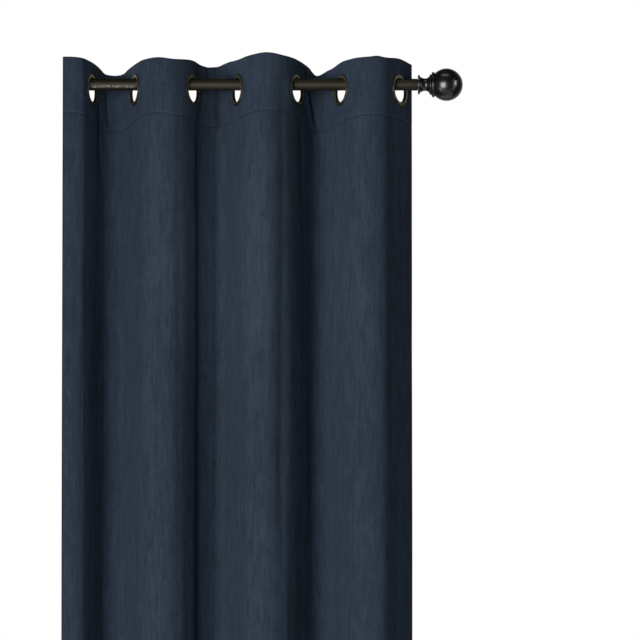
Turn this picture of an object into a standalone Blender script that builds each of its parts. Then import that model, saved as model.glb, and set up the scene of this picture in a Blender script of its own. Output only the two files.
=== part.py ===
"""Faux suede eyelet curtain hanging in folds on a metal rod with a ball finial.

Metres, +Z up, +X to the right along the rod, the room side at -Y. The origin is on the rod's axis, at
the middle of the curtain's width.

The cloth's plan line, seen from above, is made of straight flanks that pass through the eyelets and round
folds between them. The same length of cloth lies between each two eyelets, so the radius of every fold
follows from the places and slants of its two eyelets.
"""

import math
from collections import namedtuple

import bmesh
import bpy
from mathutils import Matrix, Vector

# Gap between pieces that touch
GAP = 0.0003

# Rod: 19 mm steel, cut plain at its left end, bored at its right end for the finial's spigot
ROD_RADIUS = 0.0095
ROD_LEFT = -0.270
ROD_BORE_RADIUS = 0.0078
ROD_BORE_DEPTH = 0.025

# Finial, measured from the face that meets the rod
FINIAL_LEFT = 0.2889
SPIGOT_LENGTH = 0.024
COLLAR_RADIUS = 0.0155
COLLAR_WIDTH = 0.0032
NECK_RADIUS = 0.0096
NECK_PLACE = 0.0120
SMALL_DISC_RADIUS = 0.0168
SMALL_DISC_START = 0.0189
LARGE_DISC_RADIUS = 0.0204
LARGE_DISC_START = 0.0218
LARGE_DISC_END = 0.0274
BALL_RADIUS = 0.0260
BALL_PLACE = 0.0458
EDGE_ROUND = 0.0008
THROAT_RADIUS = 0.0123

# Shares of the finial neck's length at which its hollow curve has a point, then those of its flare
HOLLOW_SHARES = (0.3, 0.65)
FLARE_SHARES = (0.45, 0.75)

# Eyelets: a front washer with its barrel and a back washer
EYELET_HOLE_RADIUS = 0.0192
EYELET_RADIUS = 0.0258
BARREL_WALL = 0.0012
FRONT_CROWN = 0.0011
WASHER_THICKNESS = 0.0007
WASHER_RIM = 0.0004
EYELET_DROP = EYELET_HOLE_RADIUS - ROD_RADIUS - GAP

# Cloth
CLOTH_THICKNESS = 0.0014
HEADING_THICKNESS = 0.0018
HEM_EXTRA = 0.0008
SIDE_HEM = 0.038
BOTTOM_HEM = 0.100
HEM_STEP = 0.002
TOP_HEIGHT = 0.0312
HEADING_HEIGHT = 0.0920
DROP = 2.134
EYELET_SPACING = 0.153
LEFT_EDGE = 0.0768
RIGHT_EDGE = 0.0425
LEFT_ROUND = 0.0389
LEFT_ROUND_LOW = 0.0340

# The folds keep their shape down to RELAX_FROM below the top edge and even out towards the hem
RELAX_FROM = 0.55
RELAX_SHARE = 0.8
RISE_FADES_AT = 0.22

# Mesh steps
ROUND_STEPS = 10
LEFT_ROUND_STEPS = 5
FLANK_STEPS = 3
HEADING_ROWS = 3
PANEL_ROWS = 9
RING_SIDES = 24
HOLE_SIDES = 24
ROD_SIDES = 32
FINIAL_SIDES = 32
BALL_STEPS = 9

# One row for each eyelet: its place along the rod and the cloth's slant there from the rod's line, in
# degrees, then the same two at the bottom hem. The flanks run back, front, back and so on.
Eyelet = namedtuple("Eyelet", "x slant low_x low_slant")
EYELETS = (
    Eyelet(x=-0.2328, slant=71.2, low_x=-0.2328, low_slant=70.0),
    Eyelet(x=-0.1637, slant=72.3, low_x=-0.1510, low_slant=71.0),
    Eyelet(x=-0.0717, slant=65.5, low_x=-0.0690, low_slant=69.5),
    Eyelet(x=0.0008, slant=70.0, low_x=0.0125, low_slant=70.5),
    Eyelet(x=0.0949, slant=65.4, low_x=0.0960, low_slant=70.0),
    Eyelet(x=0.1667, slant=65.2, low_x=0.1765, low_slant=69.5),
    Eyelet(x=0.2592, slant=62.4, low_x=0.2592, low_slant=67.5),
)

# One row for each place along the top edge: its distance from the first eyelet, counted in eyelet
# spacings, and how far the edge stands above TOP_HEIGHT there
Station = namedtuple("Station", "place spaces rise")
STATIONS = (
    Station(place="left edge", spaces=-0.50, rise=0.0002),
    Station(place="left edge's round", spaces=-0.25, rise=0.0025),
    Station(place="eyelet 1", spaces=0.00, rise=0.0060),
    Station(place="flank of back fold 1", spaces=0.20, rise=0.0063),
    Station(place="back fold 1", spaces=0.50, rise=0.0014),
    Station(place="flank past back fold 1", spaces=0.75, rise=0.0035),
    Station(place="eyelet 2", spaces=1.00, rise=0.0025),
    Station(place="dip before front fold 1", spaces=1.28, rise=-0.0005),
    Station(place="front fold 1", spaces=1.45, rise=-0.0004),
    Station(place="dip past front fold 1", spaces=1.62, rise=-0.0018),
    Station(place="eyelet 3", spaces=2.00, rise=0.0090),
    Station(place="flank of back fold 2", spaces=2.27, rise=0.0104),
    Station(place="back fold 2", spaces=2.50, rise=0.0152),
    Station(place="rise past back fold 2", spaces=2.61, rise=0.0194),
    Station(place="eyelet 4", spaces=3.00, rise=0.0102),
    Station(place="dip before front fold 2", spaces=3.28, rise=0.0058),
    Station(place="front fold 2", spaces=3.50, rise=0.0077),
    Station(place="dip past front fold 2", spaces=3.70, rise=0.0068),
    Station(place="eyelet 5", spaces=4.00, rise=0.0106),
    Station(place="flank of back fold 3", spaces=4.30, rise=0.0088),
    Station(place="back fold 3", spaces=4.46, rise=0.0008),
    Station(place="rise past back fold 3", spaces=4.57, rise=0.0052),
    Station(place="flank past back fold 3", spaces=4.78, rise=0.0046),
    Station(place="eyelet 6", spaces=5.02, rise=0.0061),
    Station(place="dip before front fold 3", spaces=5.34, rise=0.0004),
    Station(place="front fold 3", spaces=5.49, rise=0.0000),
    Station(place="pucker on front fold 3", spaces=5.57, rise=0.0020),
    Station(place="dip past front fold 3", spaces=5.68, rise=0.0022),
    Station(place="eyelet 7", spaces=6.00, rise=0.0119),
    Station(place="right edge", spaces=6.28, rise=0.0126),
)

# A straight or round run of the cloth's plan line
Run = namedtuple("Run", "length turn steps")

# A column of the cloth: distance along the cloth, then place and direction at the heading and the hem
Column = namedtuple("Column", "along top top_direction low low_direction")


def clear_scene():
    for old in list(bpy.data.objects):
        bpy.data.objects.remove(old, do_unlink=True)


def make_material(name, colour, roughness, metallic):
    material = bpy.data.materials.new(name)
    material.use_nodes = True
    shader = material.node_tree.nodes["Principled BSDF"]
    shader.inputs["Base Color"].default_value = (*colour, 1.0)
    shader.inputs["Roughness"].default_value = roughness
    shader.inputs["Metallic"].default_value = metallic
    return material


def add_object(name, bm, material, smooth_angle=math.radians(35)):
    mesh = bpy.data.meshes.new(name)
    bmesh.ops.recalc_face_normals(bm, faces=bm.faces)
    bm.to_mesh(mesh)
    bm.free()
    mesh.shade_smooth()
    mesh.set_sharp_from_angle(angle=smooth_angle)
    mesh.materials.append(material)
    made = bpy.data.objects.new(name, mesh)
    bpy.context.scene.collection.objects.link(made)
    return made


def turned(name, profile, sides, material):
    """A closed profile of (along, radius) points turned about the X axis."""
    bm = bmesh.new()
    rings = []
    for along, radius in profile:
        if radius == 0.0:
            rings.append([bm.verts.new((along, 0.0, 0.0))])
            continue
        ring = []
        for side in range(sides):
            angle = 2.0 * math.pi * side / sides
            ring.append(bm.verts.new((along, radius * math.cos(angle), radius * math.sin(angle))))
        rings.append(ring)
    ends_on_axis = profile[0][1] == 0.0 and profile[-1][1] == 0.0
    pairs = list(zip(rings, rings[1:]))
    if not ends_on_axis:
        pairs.append((rings[-1], rings[0]))
    for first, second in pairs:
        for side in range(sides):
            after = (side + 1) % sides
            corners = [first[side % len(first)], first[after % len(first)]]
            corners += [second[after % len(second)], second[side % len(second)]]
            bm.faces.new(list(dict.fromkeys(corners)))
    return add_object(name, bm, material)


def fold_lengths(pitch, slant, next_slant):
    """The straight run after one eyelet, the fold's radius, and the straight run before the next one."""
    apex_depth = pitch / (1.0 / math.tan(slant) + 1.0 / math.tan(next_slant))
    before = apex_depth / math.sin(slant)
    after = apex_depth / math.sin(next_slant)
    turn = slant + next_slant
    tangent = 1.0 / math.tan((math.pi - turn) / 2.0)
    radius = (before + after - EYELET_SPACING) / (2.0 * tangent - turn)
    return before - radius * tangent, radius, after - radius * tangent


def plan_runs(places, slants, left_round):
    """The runs of the cloth's plan line from the left edge, which is a front fold's crest."""
    runs = [Run(left_round * slants[0], slants[0], LEFT_ROUND_STEPS)]
    straight = LEFT_EDGE - left_round * slants[0]
    facing_back = True
    for index in range(len(places) - 1):
        pitch = places[index + 1] - places[index]
        out, radius, back = fold_lengths(pitch, slants[index], slants[index + 1])
        turn = slants[index] + slants[index + 1]
        runs.append(Run(straight + out, 0.0, FLANK_STEPS))
        runs.append(Run(radius * turn, -turn if facing_back else turn, ROUND_STEPS))
        straight = back
        facing_back = not facing_back
    runs.append(Run(straight + RIGHT_EDGE, 0.0, FLANK_STEPS))
    return runs


def left_start(place, slant, left_round):
    """The left edge of the cloth, found backwards from the first eyelet."""
    straight = LEFT_EDGE - left_round * slant
    x = place - straight * math.cos(slant) - left_round * math.sin(slant)
    y = -straight * math.sin(slant) - left_round * (1.0 - math.cos(slant))
    return Vector((x, y))


def along_run(start, direction, run, distance):
    """The point and direction at a distance along a run."""
    if run.turn == 0.0:
        step = Vector((math.cos(direction), math.sin(direction))) * distance
        return start + step, direction
    radius = run.length / run.turn
    after = direction + distance / radius
    step = Vector((math.sin(after) - math.sin(direction), math.cos(direction) - math.cos(after)))
    return start + step * radius, after


def plan_line(places, slants, left_round):
    """Samples of the plan line as (distance along the cloth, point, direction)."""
    point = left_start(places[0], slants[0], left_round)
    direction = 0.0
    along = 0.0
    samples = [(along, point, direction)]
    for run in plan_runs(places, slants, left_round):
        for step in range(1, run.steps + 1):
            distance = run.length * step / run.steps
            place, facing = along_run(point, direction, run, distance)
            samples.append((along + distance, place, facing))
        along += run.length
        point, direction = samples[-1][1], samples[-1][2]
    return samples


def column_at(columns, along):
    """A column between two others, at a distance along the cloth."""
    for before, after in zip(columns, columns[1:]):
        if before.along <= along <= after.along:
            share = (along - before.along) / (after.along - before.along)
            top_direction = before.top_direction + (after.top_direction - before.top_direction) * share
            low_direction = before.low_direction + (after.low_direction - before.low_direction) * share
            top = before.top.lerp(after.top, share)
            low = before.low.lerp(after.low, share)
            return Column(along, top, top_direction, low, low_direction)
    return columns[-1]


def cloth_columns():
    """The columns of the plan line, with one more on each side of the step at both side hems."""
    slants = [math.radians(row.slant) for row in EYELETS]
    low_slants = [math.radians(row.low_slant) for row in EYELETS]
    top = plan_line([row.x for row in EYELETS], slants, LEFT_ROUND)
    low = plan_line([row.low_x for row in EYELETS], low_slants, LEFT_ROUND_LOW)
    columns = [Column(a[0], a[1], a[2], b[1], b[2]) for a, b in zip(top, low)]
    width = columns[-1].along
    hem_places = (SIDE_HEM - HEM_STEP, SIDE_HEM, width - SIDE_HEM, width - SIDE_HEM + HEM_STEP)
    extra = [column_at(columns, along) for along in hem_places]
    return sorted(columns + extra, key=lambda column: column.along)


def smooth_share(value):
    value = min(max(value, 0.0), 1.0)
    return value * value * (3.0 - 2.0 * value)


def top_rise(along):
    """A smooth line through the rises of STATIONS."""
    places = [LEFT_EDGE + row.spaces * EYELET_SPACING for row in STATIONS]
    rises = [row.rise for row in STATIONS]
    last = len(places) - 1
    slopes = []
    for index in range(len(places)):
        before = max(index - 1, 0)
        after = min(index + 1, last)
        slopes.append((rises[after] - rises[before]) / (places[after] - places[before]))
    index = 0
    while index < last - 1 and along > places[index + 1]:
        index += 1
    span = places[index + 1] - places[index]
    t = min(max((along - places[index]) / span, 0.0), 1.0)
    start = (1.0 + 2.0 * t) * (1.0 - t) ** 2 * rises[index] + t * (1.0 - t) ** 2 * span * slopes[index]
    end = t * t * (3.0 - 2.0 * t) * rises[index + 1] + t * t * (t - 1.0) * span * slopes[index + 1]
    return start + end


def cloth_point(column, below_top, offset):
    """A point of the cloth, at an offset from its middle towards the room."""
    relax = RELAX_SHARE * smooth_share((below_top - RELAX_FROM) / (DROP - RELAX_FROM))
    place = column.top.lerp(column.low, relax)
    direction = column.top_direction + (column.low_direction - column.top_direction) * relax
    x = place.x + math.sin(direction) * offset
    y = place.y - math.cos(direction) * offset
    rise = top_rise(column.along) * max(0.0, 1.0 - below_top / RISE_FADES_AT)
    return Vector((x, y, TOP_HEIGHT + rise - below_top))


def cloth_sheet(name, columns, rows, front, back, material):
    """A closed sheet; front and back give the offsets of its faces at a column and a row."""
    bm = bmesh.new()
    sides = []
    for offset in (front, back):
        grid = []
        for below_top in rows:
            line = []
            for column in columns:
                line.append(bm.verts.new(cloth_point(column, below_top, offset(column, below_top))))
            grid.append(line)
        sides.append(grid)
    for grid in sides:
        for upper, lower in zip(grid, grid[1:]):
            for index in range(len(columns) - 1):
                bm.faces.new((upper[index], upper[index + 1], lower[index + 1], lower[index]))
    room, wall = sides
    last = len(columns) - 1
    for index in range(last):
        bm.faces.new((room[0][index], room[0][index + 1], wall[0][index + 1], wall[0][index]))
        bm.faces.new((room[-1][index], room[-1][index + 1], wall[-1][index + 1], wall[-1][index]))
    for index in range(len(rows) - 1):
        for edge in (0, last):
            corners = (room[index][edge], room[index + 1][edge], wall[index + 1][edge], wall[index][edge])
            bm.faces.new(corners)
    return add_object(name, bm, material)


def eyelet_frame(row, index):
    """A matrix whose X is the way the eyelet faces and whose Z is up, at the eyelet's middle."""
    slant = math.radians(row.slant)
    direction = slant if index % 2 == 0 else -slant
    facing = Vector((math.sin(direction), -math.cos(direction), 0.0))
    along = Vector((math.cos(direction), math.sin(direction), 0.0))
    frame = Matrix((facing, along, Vector((0.0, 0.0, 1.0)))).transposed().to_4x4()
    frame.translation = Vector((row.x, 0.0, -EYELET_DROP))
    return frame


def make_heading(columns, material):
    rows = [HEADING_HEIGHT * row / HEADING_ROWS for row in range(HEADING_ROWS + 1)]
    half = HEADING_THICKNESS / 2.0
    heading = cloth_sheet("heading", columns, rows, lambda c, d: half, lambda c, d: -half, material)
    hole_radius = EYELET_HOLE_RADIUS + BARREL_WALL + GAP
    reach = 3.0 * HEADING_THICKNESS
    profile = ((-reach, 0.0), (-reach, hole_radius), (reach, hole_radius), (reach, 0.0))
    for index, row in enumerate(EYELETS):
        cutter = turned(f"hole_cutter_{index + 1}", profile, HOLE_SIDES, material)
        cutter.matrix_world = eyelet_frame(row, index)
        cutter.hide_render = True
        cutter.display_type = "WIRE"
        hole = heading.modifiers.new(f"hole_{index + 1}", "BOOLEAN")
        hole.operation = "DIFFERENCE"
        hole.solver = "EXACT"
        hole.object = cutter
    return heading


def make_panel(columns, material):
    width = columns[-1].along
    top = HEADING_HEIGHT + GAP
    hem_top = DROP - BOTTOM_HEM
    rows = [top + (hem_top - HEM_STEP - top) * row / PANEL_ROWS for row in range(PANEL_ROWS + 1)]
    rows += [hem_top, DROP]
    half = CLOTH_THICKNESS / 2.0

    def back(column, below_top):
        in_side_hem = min(column.along, width - column.along) < SIDE_HEM - HEM_STEP / 2.0
        in_bottom_hem = below_top > hem_top - HEM_STEP / 2.0
        return -half - (HEM_EXTRA if in_side_hem or in_bottom_hem else 0.0)

    return cloth_sheet("panel", columns, rows, lambda c, d: half, back, material)


def make_eyelets(material):
    seat = HEADING_THICKNESS / 2.0 + GAP
    back_end = -seat - WASHER_THICKNESS
    barrel_radius = EYELET_HOLE_RADIUS + BARREL_WALL
    front_profile = (
        (back_end, EYELET_HOLE_RADIUS),
        (seat + WASHER_RIM, EYELET_HOLE_RADIUS),
        (seat + FRONT_CROWN, EYELET_HOLE_RADIUS + 2.0 * BARREL_WALL),
        (seat + FRONT_CROWN, EYELET_RADIUS - 2.0 * BARREL_WALL),
        (seat + WASHER_RIM, EYELET_RADIUS),
        (seat, EYELET_RADIUS),
        (seat, barrel_radius),
        (back_end, barrel_radius),
    )
    back_profile = (
        (-seat, barrel_radius + GAP),
        (-seat, EYELET_RADIUS),
        (-seat - WASHER_RIM, EYELET_RADIUS),
        (back_end, EYELET_RADIUS - 2.0 * BARREL_WALL),
        (back_end, barrel_radius + GAP),
    )
    for index, row in enumerate(EYELETS):
        number = index + 1
        front = turned(f"eyelet_{number}_front", front_profile, RING_SIDES, material)
        back = turned(f"eyelet_{number}_back", back_profile, RING_SIDES, material)
        front.matrix_world = eyelet_frame(row, index)
        back.matrix_world = eyelet_frame(row, index)


def make_rod(material):
    right = FINIAL_LEFT - GAP
    bore_end = right - ROD_BORE_DEPTH
    profile = (
        (ROD_LEFT, 0.0),
        (ROD_LEFT, ROD_RADIUS),
        (right, ROD_RADIUS),
        (right, ROD_BORE_RADIUS),
        (bore_end, ROD_BORE_RADIUS),
        (bore_end, 0.0),
    )
    return turned("rod", profile, ROD_SIDES, material)


def rounded_disc(start, end, radius):
    """The rim of a disc with both its edges rounded off."""
    return [
        (start, radius - EDGE_ROUND),
        (start + EDGE_ROUND, radius),
        (end - EDGE_ROUND, radius),
        (end, radius - EDGE_ROUND),
    ]


def make_finial(material):
    """Spigot, collar, hollow neck, two discs and the ball, turned in one piece."""
    spigot_radius = ROD_BORE_RADIUS - GAP
    profile = [(-SPIGOT_LENGTH, 0.0), (-SPIGOT_LENGTH, spigot_radius), (0.0, spigot_radius)]
    profile += rounded_disc(0.0, COLLAR_WIDTH, COLLAR_RADIUS)
    profile.append((COLLAR_WIDTH, THROAT_RADIUS))
    for share in HOLLOW_SHARES:
        place = COLLAR_WIDTH + (NECK_PLACE - COLLAR_WIDTH) * share
        profile.append((place, NECK_RADIUS + (THROAT_RADIUS - NECK_RADIUS) * (1.0 - share) ** 2))
    profile.append((NECK_PLACE, NECK_RADIUS))
    for share in FLARE_SHARES:
        place = NECK_PLACE + (SMALL_DISC_START - NECK_PLACE) * share
        reach = (SMALL_DISC_RADIUS - 2.0 * EDGE_ROUND - NECK_RADIUS) * share ** 2
        profile.append((place, NECK_RADIUS + reach))
    profile += rounded_disc(SMALL_DISC_START, LARGE_DISC_START, SMALL_DISC_RADIUS)[:3]
    profile += rounded_disc(LARGE_DISC_START, LARGE_DISC_END, LARGE_DISC_RADIUS)
    meet = math.acos((LARGE_DISC_END - BALL_PLACE) / BALL_RADIUS)
    for step in range(BALL_STEPS):
        angle = meet * (1.0 - step / BALL_STEPS)
        profile.append((BALL_PLACE + BALL_RADIUS * math.cos(angle), BALL_RADIUS * math.sin(angle)))
    profile.append((BALL_PLACE + BALL_RADIUS, 0.0))
    finial = turned("finial", profile, FINIAL_SIDES, material)
    finial.location.x = FINIAL_LEFT
    return finial


def main():
    clear_scene()
    suede = make_material("navy_faux_suede", (0.030, 0.048, 0.078), 0.95, 0.0)
    bronze = make_material("antique_bronze", (0.125, 0.115, 0.070), 0.42, 1.0)
    rod_steel = make_material("dark_bronze_steel", (0.030, 0.029, 0.022), 0.45, 0.8)
    black = make_material("gloss_black_enamel", (0.008, 0.008, 0.009), 0.12, 0.0)
    columns = cloth_columns()
    make_heading(columns, suede)
    make_panel(columns, suede)
    make_eyelets(bronze)
    make_rod(rod_steel)
    make_finial(black)


main()
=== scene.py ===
"""Faux suede eyelet curtain on a thin metal rod: its cloth, stitching, eyelets, rod and finial.

Laid out as an add-on: one operator for each piece or group of like pieces, its sizes and colours in
property groups, and one panel that lists them. Metres, +Z up, +X along the rod towards the finial, the
room side at -Y, and the origin on the rod's axis at the middle of the curtain's width.
"""

import math
from bisect import bisect_right
from collections import namedtuple

import bmesh
import bpy
from bpy.props import FloatProperty, FloatVectorProperty, IntProperty, PointerProperty
from bpy.types import Operator, Panel, PropertyGroup
from mathutils import Matrix, Vector, noise


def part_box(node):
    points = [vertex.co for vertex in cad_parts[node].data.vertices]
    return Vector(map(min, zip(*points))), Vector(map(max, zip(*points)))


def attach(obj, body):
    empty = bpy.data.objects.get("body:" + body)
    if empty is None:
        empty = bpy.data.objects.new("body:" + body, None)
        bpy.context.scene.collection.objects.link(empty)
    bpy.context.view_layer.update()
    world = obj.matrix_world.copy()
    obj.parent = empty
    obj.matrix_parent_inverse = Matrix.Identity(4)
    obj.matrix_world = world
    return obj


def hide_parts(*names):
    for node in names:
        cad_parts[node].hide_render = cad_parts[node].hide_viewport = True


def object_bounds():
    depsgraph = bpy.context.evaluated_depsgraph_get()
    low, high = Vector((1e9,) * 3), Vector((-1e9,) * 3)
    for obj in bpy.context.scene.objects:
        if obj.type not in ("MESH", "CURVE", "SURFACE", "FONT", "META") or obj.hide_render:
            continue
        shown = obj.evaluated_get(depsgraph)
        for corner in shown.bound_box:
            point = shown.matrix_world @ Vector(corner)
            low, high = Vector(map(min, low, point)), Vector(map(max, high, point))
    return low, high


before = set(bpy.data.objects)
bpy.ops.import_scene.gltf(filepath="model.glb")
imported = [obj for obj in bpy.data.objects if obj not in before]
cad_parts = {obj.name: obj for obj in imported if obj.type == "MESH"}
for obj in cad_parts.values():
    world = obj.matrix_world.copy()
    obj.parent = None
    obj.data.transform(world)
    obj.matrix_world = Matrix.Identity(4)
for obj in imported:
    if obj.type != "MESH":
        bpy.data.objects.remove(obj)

bl_info = {
    "name": "Faux Suede Eyelet Curtain",
    "version": (1, 0, 0),
    "blender": (4, 5, 0),
    "location": "3D Viewport > Sidebar > Curtain",
    "description": "Builds a faux suede curtain that hangs by its eyelets on a rod with a ball finial",
    "category": "Object",
}

MM = 0.001

# The heading's stitch line above its lower edge, and how far the panel reaches up behind it
SEAM_INSET = 1.2 * MM
TUCK = 1.0 * MM
# Width of the strip of painted shade along a turned edge, and half the run in which a hem's step rises
EDGE_SHADE_STRIP = 2.4 * MM
HEM_SLOPE = 0.5 * MM
# The small ripples: their width and height as shares of the wide ones, and their length
SMALL_WIDTH = 0.4
SMALL_HEIGHT = 0.35
SMALL_LENGTH = 0.16
# The puckers beside the heading's seam
PUCKER_WIDTH = 9.0 * MM
PUCKER_LENGTH = 0.02
PUCKER_HEIGHT = 0.35 * MM
PUCKER_REACH = 0.03
# A crease's ends, as shares of its length: how far it shows past them, and where it rises and dies away
CREASE_END = 0.05
CREASE_RISE = 0.2
CREASE_FALL = 0.35
# The least distance between two lines of the cloth's mesh
CLOSEST = 0.25 * MM
# The nap's tone before its patterns are added
NAP_BASE = 0.02
# Angles past which an edge of cloth or metal stays sharp
CLOTH_SHARP = math.radians(48.0)
METAL_SHARP = math.radians(38.0)
# Mesh steps along the rod, down the finial's neck and up to its beads
ROD_STEPS = 40
NECK_STEPS = 12
FLARE_STEPS = 8

FRAME_LOW, FRAME_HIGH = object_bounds()

# One row for each eyelet: its place along the rod and the cloth's slant there from the rod's line, in
# degrees, then the same two at the bottom hem. The flanks run back, front, back and so on.
Eyelet = namedtuple("Eyelet", "x slant low_x low_slant")
EYELETS = (
    Eyelet(x=-0.2328, slant=71.2, low_x=-0.2328, low_slant=70.0),
    Eyelet(x=-0.1637, slant=72.3, low_x=-0.1510, low_slant=71.0),
    Eyelet(x=-0.0717, slant=65.5, low_x=-0.0690, low_slant=69.5),
    Eyelet(x=0.0008, slant=70.0, low_x=0.0125, low_slant=70.5),
    Eyelet(x=0.0949, slant=65.4, low_x=0.0960, low_slant=70.0),
    Eyelet(x=0.1667, slant=65.2, low_x=0.1765, low_slant=69.5),
    Eyelet(x=0.2592, slant=62.4, low_x=0.2592, low_slant=67.5),
)

# One row for each place along the top edge: its distance from the first eyelet, counted in eyelet
# spacings, and how far the edge stands above its usual height there
Station = namedtuple("Station", "place spaces rise")
STATIONS = (
    Station("left edge", -0.50, 0.0002),
    Station("left edge's round", -0.25, 0.0025),
    Station("eyelet 1", 0.00, 0.0060),
    Station("flank of back fold 1", 0.20, 0.0063),
    Station("back fold 1", 0.50, 0.0014),
    Station("flank past back fold 1", 0.75, 0.0035),
    Station("eyelet 2", 1.00, 0.0025),
    Station("dip before front fold 1", 1.28, -0.0005),
    Station("front fold 1", 1.45, -0.0004),
    Station("dip past front fold 1", 1.62, -0.0018),
    Station("eyelet 3", 2.00, 0.0090),
    Station("flank of back fold 2", 2.27, 0.0104),
    Station("back fold 2", 2.50, 0.0152),
    Station("rise past back fold 2", 2.61, 0.0194),
    Station("eyelet 4", 3.00, 0.0102),
    Station("dip before front fold 2", 3.28, 0.0058),
    Station("front fold 2", 3.50, 0.0077),
    Station("dip past front fold 2", 3.70, 0.0068),
    Station("eyelet 5", 4.00, 0.0106),
    Station("flank of back fold 3", 4.30, 0.0088),
    Station("back fold 3", 4.46, 0.0008),
    Station("rise past back fold 3", 4.57, 0.0052),
    Station("flank past back fold 3", 4.78, 0.0046),
    Station("eyelet 6", 5.02, 0.0061),
    Station("dip before front fold 3", 5.34, 0.0004),
    Station("front fold 3", 5.49, 0.0000),
    Station("pucker on front fold 3", 5.57, 0.0020),
    Station("dip past front fold 3", 5.68, 0.0022),
    Station("eyelet 7", 6.00, 0.0119),
    Station("right edge", 6.28, 0.0126),
)

# One row for each place along the heading's seam: its distance from the first eyelet in eyelet
# spacings, and how far the seam sags there
Sag = namedtuple("Sag", "place spaces drop")
SEAM_SAGS = (
    Sag("left edge", -0.50, 0.0),
    Sag("front fold 1", 1.40, -0.0006),
    Sag("flank past front fold 1", 1.75, 0.0010),
    Sag("front fold 2", 3.45, 0.0002),
    Sag("flank past front fold 2", 3.75, -0.0030),
    Sag("back fold 3", 4.50, 0.0012),
    Sag("front fold 3", 5.40, 0.0042),
    Sag("right edge", 6.28, 0.0036),
)

# One row for each crease: its distance from the first eyelet in eyelet spacings at its
# upper end, how far it wanders from there in metres, its two ends below the top edge, its half width,
# and its height towards the room, which is below nought for a trough
Crease = namedtuple("Crease", "place spaces wander top bottom width height")
CREASES = (
    Crease("trough in back fold 1", 0.410, 0.0090, 0.000, 0.104, 0.0042, -0.0054),
    Crease("corner at the foot of flank 1", 0.245, 0.006, 0.050, 0.190, 0.0090, -0.0036),
    Crease("soft roll in back fold 1", 0.62, -0.006, 0.020, 0.150, 0.0110, 0.0016),
    Crease("trough in back fold 2", 2.53, 0.002, 0.030, 0.104, 0.0042, -0.0050),
    Crease("upper trough in back fold 2", 2.36, 0.000, -0.010, 0.050, 0.0048, -0.0024),
    Crease("corner at the foot of flank 2", 2.190, 0.004, -0.020, 1.600, 0.0130, -0.0052),
    Crease("bottom of back fold 2", 2.432, 0.000, -0.300, 2.150, 0.0130, 0.0058),
    Crease("trough in back fold 3", 4.213, 0.047, 0.006, 0.098, 0.0055, -0.0042),
    Crease("soft roll beside it", 4.15, 0.040, 0.010, 0.098, 0.0070, 0.0012),
    Crease("bottom of back fold 3", 4.470, 0.000, -0.200, 2.150, 0.0090, 0.0036),
    Crease("pucker at the foot of back fold 3", 4.50, 0.006, 0.078, 0.108, 0.0065, 0.0013),
    Crease("flat shoulder of front fold 1", 1.70, 0.000, -0.150, 1.950, 0.0125, -0.0026),
    Crease("corner of the left edge's fold", -0.285, 0.000, -0.020, 0.550, 0.0080, 0.0020),
    Crease("corner of front fold 2", 3.495, 0.000, -0.020, 0.900, 0.0080, 0.0030),
    Crease("flat shoulder of front fold 2", 3.70, 0.000, -0.020, 0.900, 0.0150, -0.0056),
    Crease("low flat shoulder of front fold 2", 3.68, 0.000, 0.500, 1.950, 0.0140, -0.0020),
    Crease("soft roll on front fold 1", 1.36, 0.010, 0.030, 0.420, 0.0150, 0.0012),
    Crease("soft roll on front fold 2", 3.60, -0.012, 0.060, 0.520, 0.0170, 0.0013),
    Crease("soft roll on front fold 3", 5.42, 0.006, 0.045, 0.380, 0.0150, 0.0012),
    Crease("drag line under eyelet 3", 2.10, 0.010, 0.088, 0.260, 0.0070, -0.0010),
    Crease("drag line under eyelet 5", 4.10, 0.012, 0.088, 0.300, 0.0075, -0.0010),
    Crease("drag line under eyelet 7", 5.90, -0.008, 0.086, 0.240, 0.0070, -0.0009),
    Crease("low fold line at the left", 0.15, 0.020, 0.900, 1.700, 0.0200, -0.0016),
    Crease("low fold line at the middle", 3.30, -0.025, 0.800, 1.900, 0.0220, 0.0018),
    Crease("low fold line at the right", 5.20, 0.018, 1.000, 1.950, 0.0200, -0.0016),
)

# One row for each pattern of the suede's nap: its width and height in mm, its noise, and its weight in
# the nap's tone. The turned patches are where the pile has been stroked the other way.
Pattern = namedtuple("Pattern", "name width height detail roughness distortion weight")
NAP_PATTERNS = (
    Pattern("brushed strokes", 6.0, 45.0, 2.0, 0.55, 0.6, 0.42),
    Pattern("fine brush marks", 2.2, 9.0, 2.0, 0.60, 0.0, 0.36),
    Pattern("turned patches", 22.0, 40.0, 3.0, 0.55, 0.0, 0.22),
)

# A straight or round run of the cloth's plan line, where it starts, and a column of the cloth with its
# place and direction at the heading and at the hem
Run = namedtuple("Run", "length turn")
Start = namedtuple("Start", "along point direction run")
Column = namedtuple("Column", "along top top_direction low low_direction")

# A closed line of stitches: whether it runs along the cloth or down it, where it lies, and its two ends
Seam = namedtuple("Seam", "name runs_down place start end thickness")


def linear(hex_colour):
    """An sRGB hex colour as the linear values that Blender works with."""
    values = []
    for place in (1, 3, 5):
        value = int(hex_colour[place:place + 2], 16) / 255.0
        values.append(value / 12.92 if value <= 0.04045 else ((value + 0.055) / 1.055) ** 2.4)
    return tuple(values)


def length(name, description, default):
    """A length in metres, for a property group."""
    return FloatProperty(name=name, description=description, default=default, unit="LENGTH", precision=5)


def share(name, description, default):
    """A plain share or factor, for a property group."""
    return FloatProperty(name=name, description=description, default=default, subtype="FACTOR")


def colour(name, description, hex_colour):
    """A colour, for a property group, given as sRGB hex."""
    return FloatVectorProperty(
        name=name, description=description, default=linear(hex_colour), subtype="COLOR", min=0.0, max=1.0
    )


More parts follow.
